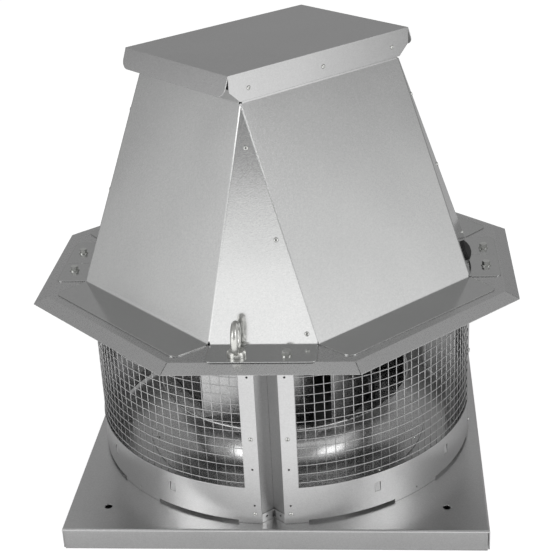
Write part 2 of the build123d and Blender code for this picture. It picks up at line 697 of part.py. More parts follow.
# Short sheet: the left front face, the front panel folded off it with its foot, and a
# strip with a small foot of its own behind the left panel.
with BuildPart() as short_sheet:
    add(outer_skin)
    split(bisect_by=front_seam.offset(-seat_clearance), keep=Keep.BOTTOM)
    split(bisect_by=left_seam.offset(-seat_clearance), keep=Keep.BOTTOM)
    split(bisect_by=Plane(origin=(0, 0, 0), z_dir=(-1, -1, 0)), keep=Keep.TOP)
    add(inner_skin, mode=Mode.SUBTRACT)
    with BuildSketch(Plane.XY.offset(plate_top).rotated((0, 0, -45))) as short_flange:
        Polygon(*flange_outline, align=None)
        fillet(short_flange.vertices().sort_by(Axis.Y)[:2], hood_flange_corner)
    extrude(amount=hood_sheet)
    with BuildSketch(Plane.XY.offset(plate_top)) as front_foot:
        with Locations((0, hood_sheet - hood_foot_line)):
            Rectangle(2 * panel_foot_half, foot_reach - hood_foot_line + hood_sheet,
                      align=(Align.CENTER, Align.MAX))
        fillet(front_foot.vertices().sort_by(Axis.Y)[:2], foot_corner)
    extrude(amount=hood_sheet)
    add(lap_strip(left_panel, short_face, skin_planes[5], left_a, apex_left))
    with BuildSketch(Plane.XY.offset(plate_top)) as left_foot:
        foot_depth = side_foot_reach - hood_foot_line + 3 * hood_sheet
        with Locations((-side_foot_reach, -foot_split - foot_split_gap)):
            Rectangle(foot_depth, panel_foot_half - foot_split - foot_split_gap,
                      align=(Align.MIN, Align.MAX))
        fillet(left_foot.vertices().sort_by(Axis.X)[:2].sort_by(Axis.Y)[:1], foot_corner)
    extrude(amount=hood_sheet)
    with BuildSketch(Plane.XY.offset(hood_top - hood_sheet / 2).rotated((0, 0, -45))):
        with Locations((0, -half_length)):
            Rectangle(hood_top_width - 2 * upstand_inset, hood_sheet, align=(Align.CENTER, Align.MIN))
    extrude(amount=short_upstand)
    with BuildSketch(Plane.XY.offset(plate_top)):
        with Locations(*[(p.X, p.Y) for p in (front_a, front_b)]):
            Circle(relief_radius)
        with Locations(*hood_bolt_points):
            Circle(bolt_shank / 2 + shank_clearance)
        with Locations(*eye_points):
            Circle(eye_shank / 2 + shank_clearance)
    extrude(amount=4 * hood_sheet, mode=Mode.SUBTRACT)
    with Locations(*seam_rivet_places):
        Cylinder(seam_rivet_hole, drill_length, mode=Mode.SUBTRACT)
    with Locations(Location((0, 0, 0), (0, 0, 180))):
        with Locations(*seam_rivet_places):
            Cylinder(seam_rivet_hole, drill_length, mode=Mode.SUBTRACT)

# Long sheet: the right front face, the right panel folded off it, half of that panel's
# foot, and a strip behind the front panel.
with BuildPart() as long_sheet:
    add(outer_skin)
    split(bisect_by=front_seam, keep=Keep.TOP)
    split(bisect_by=right_seam, keep=Keep.BOTTOM)
    split(bisect_by=Plane(origin=(0, 0, 0), z_dir=(1, -1, 0)), keep=Keep.TOP)
    add(inner_skin, mode=Mode.SUBTRACT)
    with BuildSketch(Plane.XY.offset(plate_top)):
        with Locations((hood_foot_line + hood_sheet, foot_split)):
            Rectangle(6 * hood_sheet, hood_panel_half, align=(Align.MAX, Align.MIN))
    extrude(amount=hood_sheet + seat_clearance, mode=Mode.SUBTRACT)
    with BuildSketch(Plane.XY.offset(plate_top).rotated((0, 0, 45))) as long_flange:
        Polygon(*flange_outline, align=None)
        fillet(long_flange.vertices().sort_by(Axis.Y)[:2], hood_flange_corner)
    extrude(amount=hood_sheet)
    with BuildSketch(Plane.XY.offset(plate_top)) as right_foot:
        with Locations((side_foot_reach, foot_split)):
            Rectangle(side_foot_reach - hood_foot_line + hood_sheet, panel_foot_half + foot_split,
                      align=(Align.MAX, Align.MAX))
        fillet(right_foot.vertices().sort_by(Axis.X)[-2:].sort_by(Axis.Y)[:1], foot_corner)
    extrude(amount=hood_sheet)
    add(lap_strip(front_panel, long_face, short_face, front_a, apex_front))
    with BuildSketch(Plane.XY.offset(hood_top - hood_sheet / 2).rotated((0, 0, 45))):
        with Locations((0, -half_width)):
            Rectangle(hood_top_length - 2 * upstand_inset, hood_sheet, align=(Align.CENTER, Align.MIN))
    extrude(amount=long_upstand)
    with BuildSketch(Plane.XY.offset(plate_top)):
        with Locations(*[(p.X, p.Y) for p in (right_a, right_b)]):
            Circle(relief_radius)
        with Locations(*hood_bolt_points):
            Circle(bolt_shank / 2 + shank_clearance)
    extrude(amount=4 * hood_sheet, mode=Mode.SUBTRACT)
    with Locations(*seam_rivet_places):
        Cylinder(seam_rivet_hole, drill_length, mode=Mode.SUBTRACT)
    with Locations(*cap_rivet_planes):
        Cylinder(seam_rivet_hole, drill_length, mode=Mode.SUBTRACT)

for index, (sheet, place) in enumerate(((short_sheet, "left_front"), (long_sheet, "right_front"),
                                        (short_sheet, "right_back"), (long_sheet, "left_back"))):
    with BuildPart() as hood_sheet_piece:
        with Locations(Location((0, 0, 0), (0, 0, 180 * (index // 2)))):
            add(sheet.part)
        if place == "right_front":
            with Locations(cable_plane):
                Cylinder(cable_hole / 2, drill_length, mode=Mode.SUBTRACT)
    hood_sheet_piece.part.label = f"hood_sheet_{place}"
    export_step(hood_sheet_piece.part, f"parts/hood_sheet_{place}.step")

with BuildPart() as hood_rivets:
    grip = 2 * hood_sheet + seat_clearance
    for turn in (0, 180):
        with Locations(Location((0, 0, 0), (0, 0, turn))):
            with Locations(*seam_rivet_places):
                add(blind_rivet(grip))
hood_rivets.part.label = "hood_rivets"
export_step(hood_rivets.part, "parts/hood_rivets.step")

with BuildPart() as hood_bolts:
    bolt, nut = flange_bolt(hood_sheet + plate_sheet)
    with Locations(*[(x, y, plate_top + hood_sheet) for x, y in hood_bolt_points]):
        add(bolt)
        add(nut)
hood_bolts.part.label = "hood_bolts"
export_step(hood_bolts.part, "parts/hood_bolts.step")

# Lifting eye: a forged ring on a collar, its shank through foot and plate into a nut.
with BuildPart() as eye_front:
    seat = plate_top + hood_sheet
    ring_radius = (eye_ring_outer + eye_ring_inner) / 4
    wire_radius = (eye_ring_outer - eye_ring_inner) / 4
    with Locations((0, 0, seat)):
        Cylinder(eye_collar / 2, eye_collar_height, align=(Align.CENTER, Align.CENTER, Align.MIN))
        grip = hood_sheet + plate_sheet
        Cylinder(eye_shank / 2, grip + eye_nut_height + bolt_tail,
                 align=(Align.CENTER, Align.CENTER, Align.MAX))
    chamfer(eye_front.edges().filter_by(GeomType.CIRCLE).group_by(Axis.Z)[-1], eye_collar_height / 3)
    with Locations(Location((0, 0, seat + eye_collar_height + ring_radius), (0, 90, 0))):
        Torus(ring_radius, wire_radius)
with BuildPart() as eye_nut:
    with BuildSketch(Plane.XY.offset(plate_under)):
        RegularPolygon(eye_nut_hex / sqrt(3), 6)
        Circle(eye_shank / 2 + running_clearance, mode=Mode.SUBTRACT)
    extrude(amount=-eye_nut_height)
for point, place in zip(eye_points, ("front", "back")):
    with BuildPart() as lifting_eye:
        with Locations(point):
            add(eye_front.part)
            add(eye_nut.part)
    lifting_eye.part.label = f"lifting_eye_{place}"
    export_step(lifting_eye.part, f"parts/lifting_eye_{place}.step")

# Cable grommet: a rubber ring snapped into the right panel, closed by a domed membrane.
with BuildPart() as cable_grommet:
    with BuildSketch(Plane.XZ):
        lip = grommet_lip_width
        groove = hood_sheet + 2 * seat_clearance
        inner = cable_hole / 2 - seat_clearance
        with BuildLine():
            Polyline((0, grommet_height - grommet_wall), (inner - grommet_wall, -groove - grommet_back),
                     (inner + lip / 2, -groove - grommet_back), (inner + lip / 2, -groove + seat_clearance),
                     (inner, -groove + seat_clearance), (inner, seat_clearance),
                     (inner + lip, seat_clearance),
                     (inner + lip, grommet_front), (inner, grommet_front * 2), (inner / 2, grommet_height),
                     (0, grommet_height), close=True)
        make_face()
    revolve(axis=Axis.Z)
with BuildPart() as grommet_placed:
    with Locations(cable_plane):
        add(cable_grommet.part)
grommet_placed.part.label = "cable_grommet"
export_step(grommet_placed.part, "parts/cable_grommet.step")

# Cap: flat top, long skirts riveted to the hood's upstands, short skirts flared open
# over the vents.
with BuildPart() as cap_square:
    with Locations((0, 0, cap_under)):
        Box(cap_length, cap_width, cap_sheet, align=(Align.CENTER, Align.CENTER, Align.MIN))
    half = cap_length / 2
    skirt_half = cap_skirt_length / 2
    low, shoulder = cap_top - cap_skirt_height, cap_top - cap_skirt_end_height
    with BuildSketch(Plane.XZ.offset(cap_width / 2)):
        Polygon((-half, cap_top), (half, cap_top), (half, shoulder), (skirt_half, low), (-skirt_half, low),
                (-half, shoulder), align=None)
    extrude(amount=-cap_sheet)
    mirror(about=Plane.XZ)
    flare = Plane(origin=(half, 0, cap_top), x_dir=(0, 1, 0), z_dir=(cap_flare_drop, 0, cap_flare_reach))
    with BuildSketch(flare) as flare_sketch:
        Rectangle(cap_width, hypot(cap_flare_drop, cap_flare_reach), align=(Align.CENTER, Align.MAX))
        fillet(flare_sketch.vertices().sort_by(Axis.Y)[:2], cap_flare_corner)
    extrude(amount=-cap_sheet)
    mirror(cap_square.part, about=Plane.YZ)
with BuildPart() as cap:
    with Locations(Location((0, 0, 0), (0, 0, 45))):
        add(cap_square.part)
    for turn in (0, 180):
        with Locations(Location((0, 0, 0), (0, 0, turn))):
            with Locations(*cap_rivet_planes):
                Cylinder(seam_rivet_hole, drill_length / 2, mode=Mode.SUBTRACT)
cap.part.label = "cap"
export_step(cap.part, "parts/cap.step")

with BuildPart() as cap_rivets:
    for turn in (0, 180):
        with Locations(Location((0, 0, 0), (0, 0, turn))):
            with Locations(*cap_rivet_planes):
                add(blind_rivet(cap_sheet + seat_clearance + hood_sheet))
cap_rivets.part.label = "cap_rivets"
export_step(cap_rivets.part, "parts/cap_rivets.step")

# Vent bars: flat ties across the two open ends under the cap.
with BuildPart() as vent_bars:
    with BuildSketch(Plane.XY.offset(hood_top + vent_bar_rise).rotated((0, 0, 45))):
        with Locations(*[(side * (half_length - vent_bar_inset), 0) for side in (-1, 1)]):
            Rectangle(vent_bar_width, hood_top_width - 2 * hood_sheet)
    extrude(amount=vent_bar_sheet)
vent_bars.part.label = "vent_bars"
export_step(vent_bars.part, "parts/vent_bars.step")

# Motor: flange shield, finned barrel, rear shield, cowl with a grille of holes, terminal box.
shaft_bore = shaft_diameter / 2 + running_clearance
barrel_low = flange_face + motor_flange_height + shield_step
barrel_top = barrel_low + motor_barrel_height
with BuildPart() as motor_flange_shield:
    with BuildSketch(Plane.XY.offset(flange_face)):
        Circle(motor_flange / 2)
        with PolarLocations(motor_bolt_circle / 2, motor_bolt_count, start_angle=motor_first_bolt):
            Circle(motor_bolt / 2 + shank_clearance, mode=Mode.SUBTRACT)
    extrude(amount=motor_flange_height)
    with BuildSketch(Plane.XY.offset(flange_face - plate_sheet)):
        Circle(motor_spigot / 2)
    extrude(amount=plate_sheet)
    with BuildSketch(Plane.XY.offset(flange_face + motor_flange_height)):
        Circle(motor_barrel / 2 - motor_fin_height)
    extrude(amount=shield_step)
    with BuildSketch(Plane.XY.offset(barrel_low)):
        Circle(bearing_outer / 2 + seat_clearance)
    extrude(amount=-bearing_width, mode=Mode.SUBTRACT)
    with BuildSketch(Plane.XY.offset(barrel_low)):
        Circle(shaft_bore + air_gap)
    extrude(amount=flange_face - plate_sheet - barrel_low, mode=Mode.SUBTRACT)
motor_flange_shield.part.label = "motor_flange_shield"
export_step(motor_flange_shield.part, "parts/motor_flange_shield.step")

with BuildPart() as motor_stator:
    with BuildSketch(Plane.XY.offset(barrel_low)):
        Circle(motor_barrel / 2 - motor_fin_height)
        fin_root = motor_barrel / 2 - motor_fin_height
        with PolarLocations(fin_root, motor_fin_count, start_angle=motor_first_fin):
            Rectangle(2 * motor_fin_height, motor_fin_width)
        Circle(motor_bore / 2, mode=Mode.SUBTRACT)
    extrude(amount=motor_barrel_height)
motor_stator.part.label = "motor_stator"
export_step(motor_stator.part, "parts/motor_stator.step")

with BuildPart() as motor_rear_shield:
    with BuildSketch(Plane.XY.offset(barrel_top)):
        Circle(motor_barrel / 2 - motor_fin_height / 2)
    extrude(amount=shield_height)
    with BuildSketch(Plane.XY.offset(barrel_top)):
        Circle(bearing_outer / 2 + seat_clearance)
    extrude(amount=bearing_width, mode=Mode.SUBTRACT)
    with BuildSketch(Plane.XY.offset(barrel_top)):
        Circle(shaft_bore + air_gap)
    extrude(amount=shield_height, mode=Mode.SUBTRACT)
motor_rear_shield.part.label = "motor_rear_shield"
export_step(motor_rear_shield.part, "parts/motor_rear_shield.step")

with BuildPart() as motor_bearings:
    for low in (barrel_low - bearing_width, barrel_top):
        with BuildSketch(Plane.XY.offset(low)):
            Circle(bearing_outer / 2)
            Circle(shaft_bore, mode=Mode.SUBTRACT)
        extrude(amount=bearing_width)
motor_bearings.part.label = "motor_bearings"
export_step(motor_bearings.part, "parts/motor_bearings.step")

cowl_low = barrel_top + shield_height
cowl_top = cowl_low + cowl_height
with BuildPart() as motor_fan_cowl:
    with BuildSketch(Plane.XY.offset(cowl_low)):
        Circle(motor_barrel / 2)
    extrude(amount=cowl_height)
    fillet(motor_fan_cowl.edges().sort_by(Axis.Z)[-1], 2 * cowl_sheet)
    with BuildSketch(Plane.XY.offset(cowl_low)):
        Circle(motor_barrel / 2 - cowl_sheet)
    extrude(amount=cowl_height - cowl_sheet, mode=Mode.SUBTRACT)
    with BuildSketch(Plane.XY.offset(cowl_low)):
        Circle(motor_barrel / 2)
        Circle(motor_barrel / 2 - motor_fin_height, mode=Mode.SUBTRACT)
    extrude(amount=cowl_sheet)
    with BuildSketch(Plane.XY.offset(cowl_top)):
        with PolarLocations(cowl_grille_radius, cowl_outer_holes):
            Circle(cowl_hole / 2)
        with PolarLocations(cowl_grille_radius / 2, cowl_inner_holes):
            Circle(cowl_hole / 2)
    extrude(amount=-3 * cowl_sheet, mode=Mode.SUBTRACT)
motor_fan_cowl.part.label = "motor_fan_cowl"
export_step(motor_fan_cowl.part, "parts/motor_fan_cowl.step")

with BuildPart() as terminal_box:
    box_x = motor_barrel / 2
    with Locations((box_x, 0, (barrel_low + barrel_top) / 2)):
        Box(terminal_depth, terminal_width, terminal_length, align=(Align.MIN, Align.CENTER, Align.CENTER))
    fillet(terminal_box.edges().filter_by(Axis.X), 2 * motor_fin_width)
terminal_box.part.label = "terminal_box"
export_step(terminal_box.part, "parts/terminal_box.step")

with BuildPart() as motor_bolts:
    bolt_bottom = plate_under
    grip = plate_sheet + motor_flange_height
    with PolarLocations(motor_bolt_circle / 2, motor_bolt_count, start_angle=motor_first_bolt):
        with Locations((0, 0, bolt_bottom)):
            Cylinder(motor_bolt / 2, grip + motor_bolt_nut + bolt_tail,
                     align=(Align.CENTER, Align.CENTER, Align.MIN))
    with BuildSketch(Plane.XY.offset(bolt_bottom)):
        with PolarLocations(motor_bolt_circle / 2, motor_bolt_count, start_angle=motor_first_bolt):
            RegularPolygon(motor_bolt_hex / sqrt(3), 6)
    extrude(amount=-motor_bolt_head)
with BuildPart() as motor_nuts:
    with BuildSketch(Plane.XY.offset(bolt_bottom + grip)):
        with PolarLocations(motor_bolt_circle / 2, motor_bolt_count, start_angle=motor_first_bolt):
            RegularPolygon(motor_bolt_hex / sqrt(3), 6)
            Circle(motor_bolt / 2 + running_clearance, mode=Mode.SUBTRACT)
    extrude(amount=motor_bolt_nut)
motor_bolts.part.label = "motor_bolts"
export_step(motor_bolts.part, "parts/motor_bolts.step")
motor_nuts.part.label = "motor_nuts"
export_step(motor_nuts.part, "parts/motor_nuts.step")

# Rotor: shaft and core in one, running from the hub through both bearings to the fan.
with BuildPart() as motor_rotor:
    fan_low = cowl_low + 2 * fan_disc
    with Locations((0, 0, shaft_end)):
        Cylinder(shaft_diameter / 2, fan_low + fan_disc - shaft_end,
                 align=(Align.CENTER, Align.CENTER, Align.MIN))
    with Locations((0, 0, (barrel_low + barrel_top) / 2)):
        Cylinder(motor_bore / 2 - air_gap, rotor_core_height)
    with Locations((0, 0, shaft_end)):
        Cylinder(hub_screw / 2 + seat_clearance, hub_screw_bite,
                 align=(Align.CENTER, Align.CENTER, Align.MIN), mode=Mode.SUBTRACT)
motor_rotor.part.label = "motor_rotor"
export_step(motor_rotor.part, "parts/motor_rotor.step")

fan_tip = fan_radius - fan_blade_inset
with BuildPart() as cooling_fan:
    with BuildSketch(Plane.XY.offset(fan_low)):
        Circle(fan_radius)
    extrude(amount=fan_disc)
    with BuildSketch(Plane.XY.offset(fan_low + fan_disc)):
        Circle(fan_boss)
        with PolarLocations(fan_tip / 2, fan_blades):
            Rectangle(fan_tip, fan_disc)
    extrude(amount=fan_blade_height)
    with BuildSketch(Plane.XY.offset(fan_low)):
        Circle(shaft_diameter / 2 + seat_clearance)
    extrude(amount=fan_disc, mode=Mode.SUBTRACT)
cooling_fan.part.label = "cooling_fan"
export_step(cooling_fan.part, "parts/cooling_fan.step")

# Impeller hub: a turned flange under the shaft, bored from above, with a web that the
# centre screw pulls against the end of the shaft.
hub_low = back_plate_height + back_plate_sheet
web_low = shaft_end - hub_web
with BuildPart() as impeller_hub:
    with BuildSketch(Plane.XY.offset(hub_low)):
        Circle(hub_flange_radius)
    extrude(amount=hub_flange_height)
    with BuildSketch(Plane.XY.offset(hub_low)):
        Circle(hub_radius)
    extrude(amount=flange_face - plate_sheet - hub_top_gap - hub_low)
    with BuildSketch(Plane.XY.offset(shaft_end)):
        Circle(shaft_bore)
    extrude(amount=shaft_reach, mode=Mode.SUBTRACT)
    with BuildSketch(Plane.XY.offset(hub_low)):
        Circle(hub_recess_radius)
    extrude(amount=web_low - hub_low, mode=Mode.SUBTRACT)
    with BuildSketch(Plane.XY.offset(web_low)):
        Circle(hub_screw / 2 + shank_clearance)
    extrude(amount=hub_web, mode=Mode.SUBTRACT)
    with BuildSketch(Plane.XY.offset(hub_low)):
        with PolarLocations(hub_rivet_circle, hub_rivets):
            Circle(rivet_shank / 2 + shank_clearance)
    extrude(amount=hub_flange_height, mode=Mode.SUBTRACT)
impeller_hub.part.label = "impeller_hub"
export_step(impeller_hub.part, "parts/impeller_hub.step")

with BuildPart() as hub_screw_set:
    with BuildSketch(Plane.XY.offset(web_low)):
        Circle(hub_washer_radius)
        Circle(hub_screw / 2 + shank_clearance, mode=Mode.SUBTRACT)
    extrude(amount=-hub_washer_height)
    with BuildSketch(Plane.XY.offset(web_low - hub_washer_height)):
        Circle(hub_screw_head / 2)
    extrude(amount=-hub_screw_head_height)
    with Locations((0, 0, web_low - hub_washer_height)):
        Cylinder(hub_screw / 2, hub_washer_height + hub_web + hub_screw_bite - bolt_tail,
                 align=(Align.CENTER, Align.CENTER, Align.MIN))
hub_screw_set.part.label = "hub_screw"
export_step(hub_screw_set.part, "parts/hub_screw.step")

with BuildPart() as hub_rivet_set:
    with PolarLocations(hub_rivet_circle, hub_rivets):
        with Locations((0, 0, hub_low + hub_flange_height)):
            add(blind_rivet(hub_flange_height + back_plate_sheet))
hub_rivet_set.part.label = "hub_rivets"
export_step(hub_rivet_set.part, "parts/hub_rivets.step")

with BuildPart() as impeller_back_plate:
    with BuildSketch(Plane.XY.offset(back_plate_height)):
        Circle(impeller_radius)
        Circle(hub_recess_radius, mode=Mode.SUBTRACT)
        with PolarLocations(hub_rivet_circle, hub_rivets):
            Circle(rivet_shank / 2 + shank_clearance, mode=Mode.SUBTRACT)
    extrude(amount=back_plate_sheet)
impeller_back_plate.part.label = "impeller_back_plate"
export_step(impeller_back_plate.part, "parts/impeller_back_plate.step")

# Impeller shroud: a spun trumpet, upright at the eye and flared to the rim, which ends in
# a rolled bead.
rim_slope = radians(shroud_rim_angle)
with BuildPart() as impeller_shroud:
    with BuildSketch(Plane.XZ):
        with BuildLine():
            neck_top = eye_low + eye_overlap
            rim_point = Vector(impeller_radius - rim_bead, shroud_rim_height)
            rim_side = Vector(sin(rim_slope), -cos(rim_slope)) * shroud_sheet
            rim_tangents = ((0, 1), (cos(rim_slope), sin(rim_slope)))
            inside = Spline((eye_radius, neck_top), rim_point, tangents=rim_tangents,
                            tangent_scalars=shroud_fullness)
            Line(inside @ 1, rim_point + rim_side)
            Spline((eye_radius + shroud_sheet, neck_top), rim_point + rim_side, tangents=rim_tangents,
                   tangent_scalars=shroud_fullness)
            Polyline((eye_radius + shroud_sheet, neck_top), (eye_radius + shroud_sheet, eye_low),
                     (eye_radius, eye_low), (eye_radius, neck_top))
        make_face()
    revolve(axis=Axis.Z)
    with Locations((0, 0, shroud_rim_height - shroud_sheet / 2)):
        Torus(impeller_radius - rim_bead, rim_bead)
impeller_shroud.part.label = "impeller_shroud"
export_step(impeller_shroud.part, "parts/impeller_shroud.step")

# Impeller blades: six backward-curved sheets between the shroud and the back plate.
with BuildPart() as blade_trim:
    with BuildSketch(Plane.XZ):
        with BuildLine():
            Spline((eye_radius, neck_top), rim_point, tangents=rim_tangents, tangent_scalars=shroud_fullness)
            Polyline(rim_point, (2 * impeller_radius, shroud_rim_height), (2 * impeller_radius, 0), (0, 0),
                     (0, neck_top), (eye_radius, neck_top))
        make_face()
    revolve(axis=Axis.Z)
tip_radius = impeller_radius - blade_inset
tip = radians(blade_tip_azimuth - 90)
root = radians(blade_tip_azimuth + blade_sweep - 90)
tip_point = Vector(tip_radius * cos(tip), tip_radius * sin(tip))
root_point = Vector(blade_inner_radius * cos(root), blade_inner_radius * sin(root))
middle = (tip_point + root_point) * 0.5
bulge = middle + middle.normalized() * blade_bulge
with BuildPart() as blade_front:
    with BuildSketch(Plane.XY.offset(eye_low)):
        with BuildLine():
            arc = ThreePointArc(tip_point, bulge, root_point)
            offset(amount=blade_sheet, side=Side.LEFT)
        make_face()
    extrude(amount=back_plate_height - eye_low)
    add(blade_trim.part, mode=Mode.SUBTRACT)
for index in range(blade_count):
    with BuildPart() as blade:
        with Locations(Location((0, 0, 0), (0, 0, 360 / blade_count * index))):
            add(blade_front.part)
    blade.part.label = f"impeller_blade_{index + 1}"
    export_step(blade.part, f"parts/impeller_blade_{index + 1}.step")
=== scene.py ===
from math import radians

import bpy
import numpy as np
from mathutils import Matrix


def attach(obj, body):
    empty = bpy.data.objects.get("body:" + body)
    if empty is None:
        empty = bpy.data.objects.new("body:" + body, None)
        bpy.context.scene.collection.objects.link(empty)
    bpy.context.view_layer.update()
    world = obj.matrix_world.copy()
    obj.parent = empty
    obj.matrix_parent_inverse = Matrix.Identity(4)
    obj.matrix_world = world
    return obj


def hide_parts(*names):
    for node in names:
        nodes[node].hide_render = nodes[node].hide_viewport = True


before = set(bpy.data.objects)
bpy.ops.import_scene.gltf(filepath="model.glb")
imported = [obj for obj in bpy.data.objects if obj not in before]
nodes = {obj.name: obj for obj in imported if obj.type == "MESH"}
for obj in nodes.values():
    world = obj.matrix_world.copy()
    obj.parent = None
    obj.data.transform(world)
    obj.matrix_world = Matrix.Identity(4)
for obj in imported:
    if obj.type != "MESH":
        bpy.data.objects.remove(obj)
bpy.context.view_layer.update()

# Viewpoint: a photographer standing in front of the fan, a little to its right, looks down on it
# from about half a metre above the cap through a short telephoto lens held slightly askew.
aim = np.array([-0.0005, 0.0, 0.2760])
distance = 1.9925
look_down, look_aside, lean = radians(24.439), radians(5.38), radians(-2.911)
ahead = np.array([-np.sin(look_aside) * np.cos(look_down), np.cos(look_aside) * np.cos(look_down),
                  -np.sin(look_down)])
level = np.array([np.cos(look_aside), np.sin(look_aside), 0.0])
above = np.cross(level, ahead)
right = level * np.cos(lean) + above * np.sin(lean)
upright = above * np.cos(lean) - level * np.sin(lean)


def placed(x, y, z, origin):
    """The matrix of an object at origin whose own axes point along x, y and z."""
    return Matrix([[x[i], y[i], z[i], origin[i]] for i in range(3)] + [[0, 0, 0, 1]])


camera_data = bpy.data.cameras.new("photo_camera")
camera_data.lens = 84.91
camera_data.sensor_width = 36.0
camera_data.clip_start = 0.05
camera_data.clip_end = 60.0
camera = bpy.data.objects.new("photo_camera", camera_data)
bpy.context.scene.collection.objects.link(camera)
camera.matrix_world = placed(right, upright, -ahead, aim - ahead * distance)
bpy.context.scene.camera = camera
bpy.context.scene.view_settings.view_transform = "Standard"


# Studio: a plain pale floor inside a tall tent of white cloth, brighter beside and in front of the
# fan than behind and above it, with two large soft lamps. The floor also glows: evenly to the
# camera, and in reflections as painted light, strongest in front of the tray, fading to painted
# shade near it, and none on the patch that the tray covers.
def linear(hex_colour):
    """sRGB hex to linear RGBA: c / 12.92 up to 0.04045, and ((c + 0.055) / 1.055) ** 2.4 above it."""
    c = np.array([int(hex_colour[i:i + 2], 16) for i in (1, 3, 5)]) / 255
    c = np.where(c <= 0.04045, c / 12.92, ((c + 0.055) / 1.055) ** 2.4)
    return (*c.tolist(), 1.0)


def node(tree, kind, settings=None, **links):
    """Adds one node. Settings are attributes of the node or values of its sockets, by name or number.
    Each link joins a socket of the new node, by name or number, to an output."""
    made = tree.nodes.new(kind)
    for key, value in (settings or {}).items():
        if isinstance(key, str) and hasattr(made, key):
            setattr(made, key, value)
        else:
            made.inputs[key].default_value = value
    for key, output in links.items():
        tree.links.new(output, made.inputs[int(key[1:]) if key[0] == "i" and key[1:].isdigit() else key])
    return made


def paint(name):
    """A new material and its cleared node tree."""
    material = bpy.data.materials.new(name)
    material.use_nodes = True
    material.node_tree.nodes.clear()
    return material, material.node_tree


tray_half = 0.2975
tray_cover = 0.004
floor_half = 9
floor_grey, white = linear("#CFCFCF"), linear("#FFFFFF")
corners = np.array([(-1, -1, 0), (1, -1, 0), (1, 1, 0), (-1, 1, 0)], float)
floor_mesh = bpy.data.meshes.new("floor")
floor_mesh.from_pydata(np.concatenate([corners * floor_half, corners * (tray_half - tray_cover)]).tolist(), [],
                       [(0, 1, 5, 4), (1, 2, 6, 5), (2, 3, 7, 6), (3, 0, 4, 7), (4, 5, 6, 7)])
floor = bpy.data.objects.new("floor", floor_mesh)
bpy.context.scene.collection.objects.link(floor)

floor_paint, tree = paint("matt_white_floor_paint")
matt = node(tree, "ShaderNodeBsdfDiffuse", {"Color": floor_grey})
place = node(tree, "ShaderNodeTexCoord").outputs["Object"]
depth = node(tree, "ShaderNodeSeparateXYZ", None, i0=place).outputs[1]
back_edge, front_edge, glow_ramp = 0.15, -0.35, 0.22
painted_glow_to_front = node(tree, "ShaderNodeMapRange", {"interpolation_type": "SMOOTHSTEP", "From Min": back_edge,
                                             "From Max": front_edge, "To Min": 0.08, "To Max": 1.0}, Value=depth)
away = node(tree, "ShaderNodeVectorMath", {"operation": "ABSOLUTE"}, i0=place)
away = node(tree, "ShaderNodeSeparateXYZ", None, i0=away.outputs[0])
away = node(tree, "ShaderNodeMath", {"operation": "MAXIMUM"}, i0=away.outputs[0], i1=away.outputs[1])
painted_tray_shade = node(tree, "ShaderNodeMapRange", {"interpolation_type": "SMOOTHSTEP", "From Min": tray_half,
                                               "From Max": tray_half + glow_ramp, "To Min": 0.12,
                                               "To Max": 0.72},
                  Value=away.outputs[0])
# Painted light: the floor's glow seen in reflections, strongest in front, with painted shade near the tray.
lit_floor = node(tree, "ShaderNodeMath", {"operation": "MULTIPLY"}, i0=painted_tray_shade.outputs[0],
                 i1=painted_glow_to_front.outputs[0])
path = node(tree, "ShaderNodeLightPath")
seen = node(tree, "ShaderNodeMath", {"operation": "MULTIPLY", 1: 0.72}, i0=path.outputs["Is Camera Ray"])
mirrored = node(tree, "ShaderNodeMath", {"operation": "MULTIPLY_ADD"}, i0=path.outputs["Is Glossy Ray"],
                i1=lit_floor.outputs[0], i2=seen.outputs[0])
glow = node(tree, "ShaderNodeEmission", {"Color": white}, Strength=mirrored.outputs[0])
lifted = node(tree, "ShaderNodeAddShader", None, i0=matt.outputs[0], i1=glow.outputs[0])
node(tree, "ShaderNodeOutputMaterial", None, Surface=lifted.outputs[0])
shaded_paint, tree = paint("matt_white_floor_paint_under_the_tray")
matt = node(tree, "ShaderNodeBsdfDiffuse", {"Color": floor_grey})
node(tree, "ShaderNodeOutputMaterial", None, Surface=matt.outputs[0])
for finish in (floor_paint, shaded_paint):
    floor_mesh.materials.append(finish)
floor_mesh.polygons[-1].material_index = 1

world = bpy.data.worlds.new("light_tent")
world.use_nodes = True
bpy.context.scene.world = world
tree = world.node_tree
tree.nodes.clear()
direction = node(tree, "ShaderNodeTexCoord").outputs["Generated"]
height = node(tree, "ShaderNodeSeparateXYZ", None, i0=direction).outputs[2]
tent = node(tree, "ShaderNodeMapRange", {"From Min": 0.3, "From Max": 1.0, "To Min": 0.33, "To Max": 0.50},
            Value=height).outputs[0]
# Each cloth panel: the way it hangs, the cosines where its light begins and is full, the heights
# where it is full and gone, and its strength. The front one has a soft part and a sharp top edge.
front_way = (-0.09, -1.0, 0.0)
for way, begins, full, top_full, top_gone, strength in (((-0.93, -0.37, 0.0), 0.80, 0.99, 0.12, 0.28, 0.86),
                                                        ((0.93, -0.37, 0.0), 0.80, 0.99, 0.28, 0.60, 0.86),
                                                        (front_way, 0.45, 0.72, 0.20, 0.40, 0.17),
                                                        (front_way, 0.45, 0.72, 0.262, 0.27, 0.87)):
    facing = node(tree, "ShaderNodeVectorMath", {"operation": "DOT_PRODUCT", 1: way}, i0=direction)
    across = node(tree, "ShaderNodeMapRange", {"interpolation_type": "SMOOTHSTEP", "From Min": begins,
                                               "From Max": full}, Value=facing.outputs["Value"])
    upward = node(tree, "ShaderNodeMapRange", {"interpolation_type": "SMOOTHSTEP", "From Min": top_gone,
                                               "From Max": top_full, "To Max": strength}, Value=height)
    tent = node(tree, "ShaderNodeMath", {"operation": "MULTIPLY_ADD"}, i0=across.outputs[0],
                i1=upward.outputs[0], i2=tent).outputs[0]
soft = node(tree, "ShaderNodeBackground", {"Color": white}, Strength=tent)
plain = node(tree, "ShaderNodeBackground", {"Color": white, "Strength": 1.0})
path = node(tree, "ShaderNodeLightPath")
